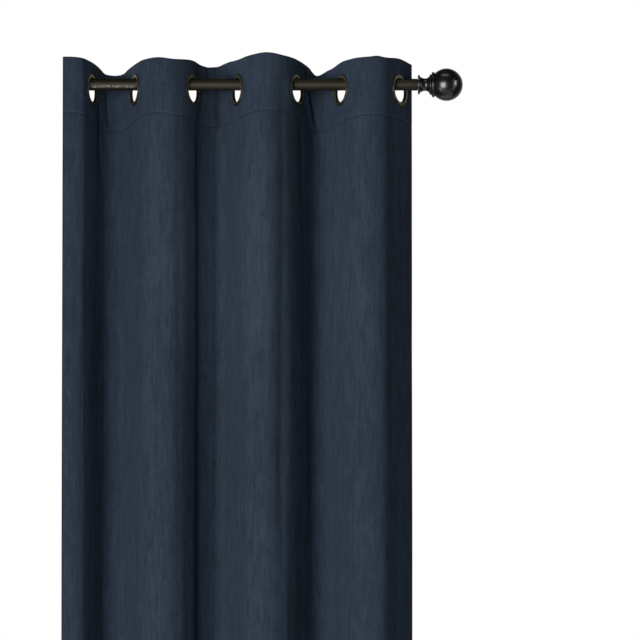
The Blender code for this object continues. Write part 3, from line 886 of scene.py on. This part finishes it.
def turned(name, profile, sides, material, matrix=Matrix.Identity(4), wear_and_shade=None):
    """A closed profile of (along, radius) points turned about the X axis. A profile that starts and
    ends on the axis is closed there, and any other is closed into a ring."""
    points, rings, values = [], [], []
    for place, (along, radius) in enumerate(profile):
        count = 1 if radius == 0.0 else sides
        rings.append([len(points) + side for side in range(count)])
        for side in range(count):
            angle = 2.0 * math.pi * side / sides
            points.append(matrix @ Vector((along, radius * math.cos(angle), radius * math.sin(angle))))
            values.append(wear_and_shade[place] if wear_and_shade else 0.0)
    pairs = list(zip(rings, rings[1:]))
    if profile[0][1] != 0.0:
        pairs.append((rings[-1], rings[0]))
    faces = []
    for first, second in pairs:
        for side in range(sides):
            after = (side + 1) % sides
            corners = [first[side % len(first)], second[side % len(second)]]
            corners += [second[after % len(second)], first[after % len(first)]]
            faces.append(list(dict.fromkeys(corners)))
    mesh = bpy.data.meshes.new(name)
    mesh.from_pydata(points, [], faces)
    mesh.attributes.new("rubbed", "FLOAT", "POINT").data.foreach_set("value", values)
    return finish_mesh(name, mesh, material, METAL_SHARP)


def arc(centre, radii, start, end, steps):
    """Points of an elliptical arc as (along, radius), with its angles in degrees from the X axis."""
    points = []
    for step in range(steps + 1):
        angle = math.radians(start + (end - start) * step / steps)
        points.append((centre[0] + radii[0] * math.cos(angle), centre[1] + radii[1] * math.sin(angle)))
    return points


def hanging_cloth(context):
    scene = context.scene
    return HangingCloth(scene.curtain_cloth, scene.curtain_stitches, scene.curtain_eyelets)


made_materials = {}


def shared_material(make, settings):
    """The material that make builds, made once and shared by every piece that asks for it."""
    kept = made_materials.get(make.__name__)
    if kept is None:
        kept = make(settings)
        made_materials[make.__name__] = kept
    return kept


def column_places(hanging, narrow_creases=()):
    """Places of the mesh's columns, closer at the side edges, the side hems' stitch lines and creases."""
    cloth, stitching = hanging.cloth, hanging.stitching
    hem = cloth.side_hem
    close_to = [0.0, hem - stitching.inset, hem, hanging.width - hem]
    close_to += [hanging.width - hem + stitching.inset, hanging.width]
    for crease in narrow_creases:
        middle = cloth.left_edge + crease.spaces * cloth.eyelet_spacing
        close_to += [middle + crease.wander * share for share in (0.35, 0.75)]
    return graded(0.0, hanging.width, cloth.column_step, close_to)


class CURTAIN_OT_heading(Operator):
    """Make the doubled band along the top edge, with a hole for each eyelet"""

    bl_idname = "curtain.make_heading"
    bl_label = "Heading"

    def execute(self, context):
        scene = context.scene
        cloth, eyelet = scene.curtain_cloth, scene.curtain_eyelets
        hanging = hanging_cloth(context)
        half = cloth.heading_thickness / 2.0
        width, height = hanging.width, cloth.heading_height

        def to_edge(along, below_top):
            return min(along, width - along, below_top, height - below_top)

        def half_thickness(along, below_top):
            stitch_line = height - SEAM_INSET
            return rounded(half, to_edge(along, below_top)) * hanging.groove(below_top - stitch_line)

        # Painted shade along the top edge and both side edges
        def edge(along, below_top):
            return 1.0 - smooth_share(min(along, width - along, below_top) / EDGE_SHADE_STRIP)

        belows = graded(0.0, height, cloth.heading_row_step, (0.0, height))
        narrow = [crease for crease in CREASES if crease.width < 6.0 * MM]
        alongs = column_places(hanging, narrow)
        material = shared_material(faux_suede, cloth)
        heading = cloth_piece(
            "heading_cloth", hanging, alongs, belows, half_thickness, half_thickness, edge, material,
        )
        self.cut_holes(heading, hanging, eyelet)
        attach(heading, "root")
        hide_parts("heading")
        return {"FINISHED"}

    def cut_holes(self, heading, hanging, eyelet):
        """Cuts a hole round each barrel with an exact Boolean, then applies it."""
        radius = eyelet.hole_radius + eyelet.barrel_wall + eyelet.gap
        reach = 3.0 * hanging.cloth.heading_thickness
        profile = ((-reach, 0.0), (-reach, radius), (reach, radius), (reach, 0.0))
        cutters = []
        for index in range(len(EYELETS)):
            matrix = eyelet_frame(index, hanging.eyelet_drop)
            cutter = turned(f"cutter_{index + 1}", profile, eyelet.sides, heading.active_material, matrix)
            cut = heading.modifiers.new(cutter.name, "BOOLEAN")
            cut.operation = "DIFFERENCE"
            cut.solver = "EXACT"
            cut.object = cutter
            cutters.append(cutter)
        bpy.context.view_layer.update()
        evaluated = heading.evaluated_get(bpy.context.evaluated_depsgraph_get())
        mesh = bpy.data.meshes.new_from_object(evaluated)
        heading.modifiers.clear()
        heading.data = mesh
        for cutter in cutters:
            bpy.data.objects.remove(cutter, do_unlink=True)


class CURTAIN_OT_panel(Operator):
    """Make the long panel below the heading, in its folds, with side hems and a bottom hem"""

    bl_idname = "curtain.make_panel"
    bl_label = "Panel"

    def execute(self, context):
        cloth, stitching = context.scene.curtain_cloth, context.scene.curtain_stitches
        hanging = hanging_cloth(context)
        half = cloth.thickness / 2.0
        width, drop = hanging.width, cloth.drop
        top = cloth.heading_height - TUCK
        hem_top = drop - cloth.bottom_hem
        side_line = cloth.side_hem - stitching.inset
        bottom_line = hem_top + stitching.inset

        def from_side(along):
            return min(along, width - along)

        def pinch(along, below_top):
            beside = hanging.groove(from_side(along) - side_line)
            return beside * hanging.groove(below_top - bottom_line)

        def half_front(along, below_top):
            tucked = 0.55 + 0.45 * smooth_share((below_top - top) / (1.6 * MM))
            return rounded(half, min(from_side(along), drop - below_top)) * pinch(along, below_top) * tucked

        def half_back(along, below_top):
            into_side = (cloth.side_hem - from_side(along)) / HEM_SLOPE
            into_bottom = (below_top - hem_top) / HEM_SLOPE
            inside = smooth_share(0.5 + 0.5 * max(into_side, into_bottom))
            thick = half + cloth.hem_extra * inside
            return rounded(thick, min(from_side(along), drop - below_top)) * pinch(along, below_top)

        # Painted shade along both side edges and the bottom edge
        def edge(along, below_top):
            turned_over = 1.0 - smooth_share(min(from_side(along), drop - below_top) / EDGE_SHADE_STRIP)
            # Painted shadow on the strip below the heading's lower edge
            seam_shadow = 0.6 * (1.0 - smooth_share((below_top - top) / cloth.seam_shadow))
            return max(turned_over, seam_shadow)

        close_to = (top + TUCK, bottom_line, hem_top, drop)
        upper = graded(top, top + 0.06, cloth.row_step / 2.4, close_to)
        lower = graded(top + 0.06, drop, cloth.row_step, close_to)
        panel = cloth_piece(
            "panel_cloth", hanging, column_places(hanging), upper + lower[1:], half_front, half_back,
            edge, shared_material(faux_suede, cloth),
        )
        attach(panel, "root")
        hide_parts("panel")
        return {"FINISHED"}


class CURTAIN_OT_stitching(Operator):
    """Sew the heading's seam, both side hems and the bottom hem, stitch by stitch, on both faces"""

    bl_idname = "curtain.make_stitching"
    bl_label = "Stitching"

    def execute(self, context):
        cloth, stitching = context.scene.curtain_cloth, context.scene.curtain_stitches
        hanging = hanging_cloth(context)
        width, drop, height = hanging.width, cloth.drop, cloth.heading_height
        side = cloth.side_hem - stitching.inset
        bottom = drop - cloth.bottom_hem + stitching.inset
        margin = 3.0 * MM
        heading, single = cloth.heading_thickness, cloth.thickness
        seams = (
            Seam("heading_seam_stitches", False, height - SEAM_INSET, margin, width - margin, heading),
            Seam("left_hem_stitches", True, side, height + margin, drop - margin, single),
            Seam("right_hem_stitches", True, width - side, height + margin, drop - margin, single),
            Seam("bottom_hem_stitches", False, bottom, margin, width - margin, single),
        )
        material = shared_material(sewing_thread, stitching)
        for seam in seams:
            piece = self.sew(hanging, seam, material)
            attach(piece, "root")
        return {"FINISHED"}

    def sew(self, hanging, seam, material):
        """One line of stitches on the front face and one on the back face."""
        stitching = hanging.stitching
        pinched = seam.thickness / 2.0 * (1.0 - stitching.groove)
        extra = 0.0 if seam.name.startswith("heading") else hanging.cloth.hem_extra
        back = (seam.thickness / 2.0 + extra) * (1.0 - stitching.groove)
        points, faces = [], []
        count = int((seam.end - seam.start) / stitching.pitch)
        for index in range(count):
            start = seam.start + index * stitching.pitch
            self.add_stitch(hanging, seam, start, pinched, 1.0, points, faces)
            self.add_stitch(hanging, seam, start, back, -1.0, points, faces)
        mesh = bpy.data.meshes.new(seam.name)
        mesh.from_pydata(points, [], faces)
        return finish_mesh(seam.name, mesh, material)

    def add_stitch(self, hanging, seam, start, surface, side, points, faces):
        """A short tube that rises out of the cloth and dips back into it."""
        stitching = hanging.stitching
        shape = ((0.0, -0.9, 0.55), (0.2, 0.15, 0.9), (0.5, 0.55, 1.0), (0.8, 0.15, 0.9), (1.0, -0.9, 0.55))
        line, outs = [], []
        for done, lift, _ in shape:
            place = start + stitching.stitch * done
            along, below = (seam.place, place) if seam.runs_down else (place, seam.place)
            column = hanging.column(along)
            offset = hanging.relief(along, below) + side * (surface + lift * stitching.thread)
            here = hanging.point(column, below, offset)
            line.append(here)
            outs.append((hanging.point(column, below, offset + side * MM) - here).normalized())
        ahead = (line[-1] - line[0]).normalized()
        first = len(points)
        for here, out, (_, _, fullness) in zip(line, outs, shape):
            beside = ahead.cross(out).normalized()
            for corner in range(stitching.sides):
                angle = 2.0 * math.pi * corner / stitching.sides
                reach = (out * math.cos(angle) + beside * math.sin(angle)) * stitching.thread * fullness
                points.append(here + reach)
        for ring in range(len(shape) - 1):
            for corner in range(stitching.sides):
                after = (corner + 1) % stitching.sides
                base, upper = first + ring * stitching.sides, first + (ring + 1) * stitching.sides
                faces.append((base + corner, base + after, upper + after, upper + corner))
        last = first + (len(shape) - 1) * stitching.sides
        faces.append(tuple(range(first + stitching.sides - 1, first - 1, -1)))
        faces.append(tuple(range(last, last + stitching.sides)))


class CURTAIN_OT_eyelets(Operator):
    """Make each eyelet: a domed front washer with its rolled barrel, and a back washer"""

    bl_idname = "curtain.make_eyelets"
    bl_label = "Eyelets"

    def execute(self, context):
        scene = context.scene
        cloth, eyelet = scene.curtain_cloth, scene.curtain_eyelets
        hanging = hanging_cloth(context)
        material = shared_material(antique_bronze, eyelet)
        seat = cloth.heading_thickness / 2.0 + eyelet.gap
        front, front_wear = self.front_profile(eyelet, seat)
        back, back_wear = self.back_profile(eyelet, seat)
        for index in range(len(EYELETS)):
            matrix = eyelet_frame(index, hanging.eyelet_drop)
            number = index + 1
            ring = turned(f"eyelet_{number}_front_ring", front, eyelet.sides, material, matrix, front_wear)
            washer = turned(f"eyelet_{number}_back_ring", back, eyelet.sides, material, matrix, back_wear)
            for piece, node in ((ring, f"eyelet_{number}_front"), (washer, f"eyelet_{number}_back")):
                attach(piece, "root")
                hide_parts(node)
        return {"FINISHED"}

    def front_profile(self, eyelet, seat):
        """The barrel, rolled out at its back end, the domed crown and the rim that curls to the cloth."""
        hole, outer, wall = eyelet.hole_radius, eyelet.ring_radius, eyelet.barrel_wall
        back_end = -seat - eyelet.washer
        lip, inner_round, outer_round = 0.55 * MM, 1.3 * MM, 2.4 * MM
        curl, half_flat, dome = 0.2 * MM, 0.8 * MM, eyelet.crown * 0.86
        profile = arc((back_end, hole + wall), (lip, wall), 90.0, 270.0, 8)
        wear_and_shade = [0.10] * len(profile)
        throat = arc((seat, hole + inner_round), (dome, inner_round), 270.0, 360.0, 7)
        profile += throat
        wear_and_shade += [0.45 * (step / (len(throat) - 1)) ** 2 for step in range(len(throat))]
        middle, top = (hole + inner_round + outer - outer_round) / 2.0, seat + eyelet.crown
        profile += [(top, middle - half_flat), (top, middle + half_flat)]
        wear_and_shade += [0.66, 0.66]
        rim = arc((seat - curl, outer - outer_round), (dome + curl, outer_round), 0.0, 90.0, 8)
        profile += rim
        wear_and_shade += [0.55 * (1.0 - step / (len(rim) - 1)) ** 2 for step in range(len(rim))]
        profile += [(seat - curl, outer - 0.5 * MM), (seat, outer - 0.9 * MM), (seat, hole + wall)]
        profile.append((back_end, hole + wall))
        wear_and_shade += [0.0] * 4
        return profile, wear_and_shade

    def back_profile(self, eyelet, seat):
        """A flat washer with its outer edge turned towards the cloth."""
        hole, outer = eyelet.hole_radius + eyelet.barrel_wall + eyelet.gap, eyelet.ring_radius
        thick = eyelet.washer
        profile = [(-seat, hole), (-seat, outer - 0.8 * MM), (-seat + 0.2 * MM, outer - 0.4 * MM)]
        profile += [(-seat + 0.2 * MM, outer), (-seat - 0.1 * MM, outer)]
        profile += arc((-seat - 0.1 * MM, outer - 0.6 * MM), (thick - 0.1 * MM, 0.6 * MM), 90.0, 180.0, 5)[1:]
        profile += [(-seat - thick, hole + 0.3 * MM), (-seat - thick + 0.15 * MM, hole)]
        return profile, [0.35] * len(profile)


class CURTAIN_OT_rod(Operator):
    """Make the round rod with its open right end"""

    bl_idname = "curtain.make_rod"
    bl_label = "Rod"

    def execute(self, context):
        rod = context.scene.curtain_rod
        low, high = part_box("rod")
        radius = (high.z - low.z) / 2.0
        soft = rod.end_round
        bore_end = high.x - rod.bore_depth
        profile = [(low.x, 0.0), (low.x, radius - soft)]
        profile += arc((low.x + soft, radius - soft), (soft, soft), 180.0, 90.0, 4)[1:]
        for step in range(1, ROD_STEPS):
            profile.append((low.x + (high.x - low.x) * step / ROD_STEPS, radius))
        profile += arc((high.x - soft, radius - soft), (soft, soft), 90.0, 0.0, 4)
        profile += [(high.x, rod.bore_radius), (bore_end, rod.bore_radius), (bore_end, 0.0)]
        piece = turned("rod_tube", profile, rod.sides, shared_material(bronze_lacquer, rod))
        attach(piece, "root")
        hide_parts("rod")
        return {"FINISHED"}


class CURTAIN_OT_finial(Operator):
    """Make the turned finial: spigot, collar, neck, two beads and the ball"""

    bl_idname = "curtain.make_finial"
    bl_label = "Finial"

    def execute(self, context):
        finial = context.scene.curtain_finial
        low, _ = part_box("finial")
        left = low.x + finial.spigot_length
        spigot = context.scene.curtain_rod.bore_radius - context.scene.curtain_eyelets.gap
        profile = [(-finial.spigot_length, 0.0), (-finial.spigot_length, spigot), (0.0, spigot)]
        profile += self.collar_and_neck(finial)
        profile += self.beads_and_ball(finial)
        matrix = Matrix.Translation((left, 0.0, 0.0))
        material = shared_material(black_enamel, finial)
        piece = turned("finial_ball", profile, finial.sides, material, matrix)
        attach(piece, "root")
        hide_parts("finial")
        return {"FINISHED"}

    def collar_and_neck(self, finial):
        """A flat face, a thin rounded rim, then a hollow sweep down to the neck and up to the beads."""
        rim = 0.6 * MM
        points = [(0.0, finial.collar_radius - 1.4 * MM)]
        points += arc((rim, finial.collar_radius - rim), (rim, rim), 180.0, 90.0, 5)
        rim_end = finial.collar_width - rim
        points += arc((rim_end, finial.collar_radius - rim), (rim, rim), 90.0, 10.0, 5)
        for step in range(NECK_STEPS + 1):
            done = step / NECK_STEPS
            fall = (1.0 - done) ** 2.0
            place = finial.collar_width + (finial.neck_place - finial.collar_width) * done
            reach = finial.throat_radius + 1.0 * MM - finial.neck_radius
            points.append((place, finial.neck_radius + reach * fall))
        flare = finial.small_start - finial.neck_place
        for step in range(1, FLARE_STEPS + 1):
            done = step / FLARE_STEPS
            reach = finial.small_radius - 2.0 * MM - finial.neck_radius
            points.append((finial.neck_place + flare * done, finial.neck_radius + reach * done ** 2.2))
        return points

    def beads_and_ball(self, finial):
        """The small bead, the large bead and the ball, each rounded, with a fine groove between them."""
        small_middle = (finial.small_start + finial.large_start) / 2.0
        small_half = (finial.large_start - finial.small_start) / 2.0
        points = arc((small_middle, finial.small_radius - 1.8 * MM), (small_half, 1.8 * MM), 165.0, 15.0, 8)
        points.append((finial.large_start, finial.small_radius - 1.7 * MM))
        large_middle = (finial.large_start + finial.large_end) / 2.0
        large_half = (finial.large_end - finial.large_start) / 2.0
        points += arc((large_middle, finial.large_radius - 3.0 * MM), (large_half, 3.0 * MM), 168.0, 14.0, 12)
        meet = math.degrees(math.acos((finial.large_end - finial.ball_place) / finial.ball_radius))
        ball = arc((finial.ball_place, 0.0), (finial.ball_radius, finial.ball_radius), meet, 0.0, 40)
        points += ball[:-1]
        points.append((finial.ball_place + finial.ball_radius, 0.0))
        return points


# A light of the stage: where it stands as the azimuth from the room side towards +X, its elevation and
# its distance, all seen from its target, then its width, height and power in watts, and whether metal and
# enamel mirror it. The back softbox isn't mirrored, or it would whiten the outline of the finial's ball.
Lamp = namedtuple("Lamp", "name target azimuth elevation distance width height power mirrored")
CURTAIN_MIDDLE = (0.0, 0.0, -0.75)
FINIAL_MIDDLE = (0.335, 0.0, 0.0)
LAMP_COLOUR = "#fffdf8"
LAMPS = (
    Lamp("key_softbox", CURTAIN_MIDDLE, -21.0, -8.0, 4.2, 2.5, 2.7, 196.0, True),
    Lamp("side_fill", CURTAIN_MIDDLE, 65.0, -4.0, 3.0, 0.6, 2.4, 7.5, True),
    Lamp("back_softbox", CURTAIN_MIDDLE, -158.0, 22.0, 4.2, 2.8, 2.4, 220.0, False),
    Lamp("left_back_softbox", CURTAIN_MIDDLE, -128.0, 12.0, 4.2, 2.4, 2.6, 45.0, True),
    Lamp("finial_strip", FINIAL_MIDDLE, 59.4, 3.7, 0.123, 0.0243, 0.0452, 0.0287, True),
    Lamp("finial_low", FINIAL_MIDDLE, -56.0, -37.0, 0.60, 0.14, 0.14, 0.22, True),
    Lamp("finial_top", FINIAL_MIDDLE, -15.0, 57.0, 0.60, 0.40, 0.12, 0.32, True),
    Lamp("finial_rim", FINIAL_MIDDLE, 172.0, 10.0, 0.45, 0.90, 0.90, 0.80, True),
)


class CURTAIN_OT_stage(Operator):
    """Make the pale floor, the studio lights, the white surroundings and the camera"""

    bl_idname = "curtain.make_stage"
    bl_label = "Stage"

    def execute(self, context):
        stage = context.scene.curtain_stage
        self.make_floor(context, stage)
        for lamp in LAMPS:
            self.make_lamp(context, lamp)
        self.make_world(context, stage)
        self.make_camera(context, stage)
        context.scene.view_settings.view_transform = "Standard"
        return {"FINISHED"}

    def make_floor(self, context, stage):
        z = FRAME_LOW.z - stage.floor_gap
        reach = stage.floor_size
        corners = [(-reach, -reach, z), (reach, -reach, z), (reach, reach, z), (-reach, reach, z)]
        mesh = bpy.data.meshes.new("floor")
        mesh.from_pydata(corners, [], [(0, 1, 2, 3)])
        finish_mesh("floor", mesh, matt_floor(stage))

    def make_lamp(self, context, lamp):
        light = bpy.data.lights.new(lamp.name, "AREA")
        light.shape = "RECTANGLE"
        light.size, light.size_y = lamp.width, lamp.height
        light.energy = lamp.power
        light.color = linear(LAMP_COLOUR)
        azimuth, elevation = math.radians(lamp.azimuth), math.radians(lamp.elevation)
        away = Vector((
            math.sin(azimuth) * math.cos(elevation),
            -math.cos(azimuth) * math.cos(elevation),
            math.sin(elevation),
        ))
        made = bpy.data.objects.new(lamp.name, light)
        made.location = Vector(lamp.target) + away * lamp.distance
        made.rotation_euler = away.to_track_quat("Z", "Y").to_euler()
        made.visible_camera = False
        made.visible_glossy = lamp.mirrored
        context.scene.collection.objects.link(made)

    def make_world(self, context, stage):
        """White surroundings for the picture, and a dim even light for the curtain."""
        world = bpy.data.worlds.new("white_studio")
        world.use_nodes = True
        tree = world.node_tree
        tree.nodes.clear()
        seen = add_node(tree, "Background", {"Color": (1.0, 1.0, 1.0, 1.0)})
        even = add_node(tree, "Background", {"Color": (1.0, 0.96, 0.90, 1.0), "Strength": stage.ambient})
        rays = add_node(tree, "LightPath")
        mix = add_node(tree, "MixShader", {
            "Fac": (rays, "Is Camera Ray"), "Shader": (even, "Background"),
            "Shader_001": (seen, "Background"),
        })
        add_node(tree, "OutputWorld", {"Surface": (mix, "Shader")})
        context.scene.world = world

    def make_camera(self, context, stage):
        """A far camera with a long lens, which looks up at the rod and keeps upright lines upright."""
        camera = bpy.data.cameras.new("camera")
        camera.sensor_width = 36.0
        camera.lens = camera.sensor_width * stage.distance / stage.field
        camera.clip_start = 1.0
        camera.clip_end = 2.0 * stage.distance
        ahead = Vector((0.0, math.cos(stage.elevation), math.sin(stage.elevation)))
        made = bpy.data.objects.new("camera", camera)
        target = Vector((stage.target_x, stage.target_y, stage.target_z))
        made.location = target - ahead * stage.distance
        made.rotation_euler = ahead.to_track_quat("-Z", "Y").to_euler()
        context.scene.collection.objects.link(made)
        context.scene.camera = made


class CURTAIN_PT_sidebar(Panel):
    """Lists the curtain's pieces and their settings"""

    bl_idname = "CURTAIN_PT_sidebar"
    bl_label = "Eyelet Curtain"
    bl_space_type = "VIEW_3D"
    bl_region_type = "UI"
    bl_category = "Curtain"

    def draw(self, context):
        layout = self.layout
        for operator in OPERATORS:
            layout.operator(operator.bl_idname)
        for name, group in SETTINGS.items():
            box = layout.box()
            box.label(text=group.__doc__)
            settings = getattr(context.scene, name)
            for field in group.__annotations__:
                box.prop(settings, field)


SETTINGS = {
    "curtain_cloth": ClothSettings,
    "curtain_stitches": StitchSettings,
    "curtain_eyelets": EyeletSettings,
    "curtain_rod": RodSettings,
    "curtain_finial": FinialSettings,
    "curtain_stage": StageSettings,
}
OPERATORS = (
    CURTAIN_OT_heading,
    CURTAIN_OT_panel,
    CURTAIN_OT_stitching,
    CURTAIN_OT_eyelets,
    CURTAIN_OT_rod,
    CURTAIN_OT_finial,
    CURTAIN_OT_stage,
)


def register():
    for name, group in SETTINGS.items():
        bpy.utils.register_class(group)
        setattr(bpy.types.Scene, name, PointerProperty(type=group))
    for operator in OPERATORS:
        bpy.utils.register_class(operator)
    bpy.utils.register_class(CURTAIN_PT_sidebar)


def unregister():
    bpy.utils.unregister_class(CURTAIN_PT_sidebar)
    for operator in reversed(OPERATORS):
        bpy.utils.unregister_class(operator)
    for name, group in SETTINGS.items():
        delattr(bpy.types.Scene, name)
        bpy.utils.unregister_class(group)


def main():
    register()
    bpy.ops.curtain.make_heading()
    bpy.ops.curtain.make_panel()
    bpy.ops.curtain.make_stitching()
    bpy.ops.curtain.make_eyelets()
    bpy.ops.curtain.make_rod()
    bpy.ops.curtain.make_finial()
    bpy.ops.curtain.make_stage()


if __name__ == "__main__":
    main()
